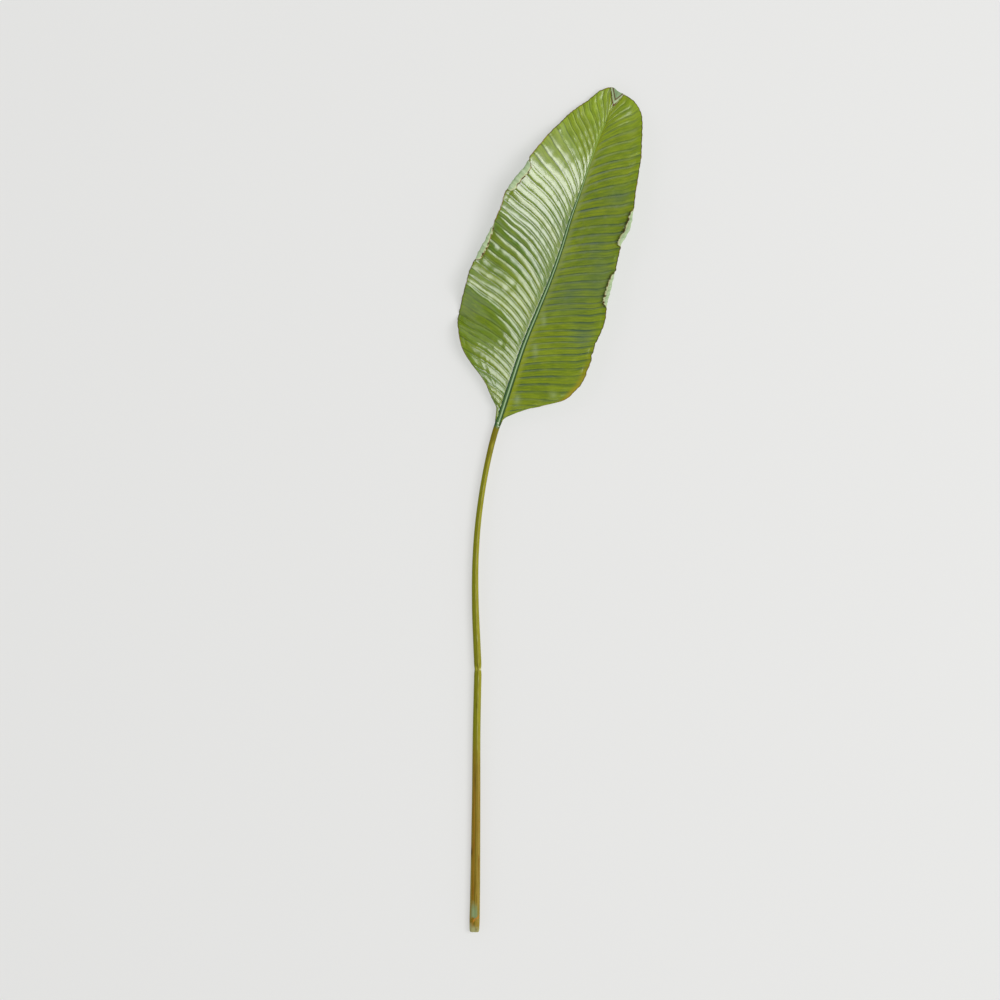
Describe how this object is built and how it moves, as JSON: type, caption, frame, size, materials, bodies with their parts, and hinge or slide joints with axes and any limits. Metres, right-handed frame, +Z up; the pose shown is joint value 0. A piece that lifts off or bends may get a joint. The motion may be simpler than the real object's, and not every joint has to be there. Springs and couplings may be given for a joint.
{
  "type": "banana leaf",
  "caption": "Single banana leaf lying on its back: ribbed green blade with a pale midrib and a long grooved stalk.",
  "frame": {"origin": "Middle of the leaf's box in plan, on the surface that it lies on.", "axes": "+Y runs along the leaf from the cut end of the stalk to the tip, +X is to the right seen from above, +Z is up out of the upper face."},
  "size_m": [0.2625, 1.1994, 0.0426],
  "materials": {
    "leaf": "waxy green leaf, satin, with pale midrib and yellow-green stalk"
  },
  "bodies": {
    "root": {"banana_leaf": "leaf"}
  },
  "joints": []
}
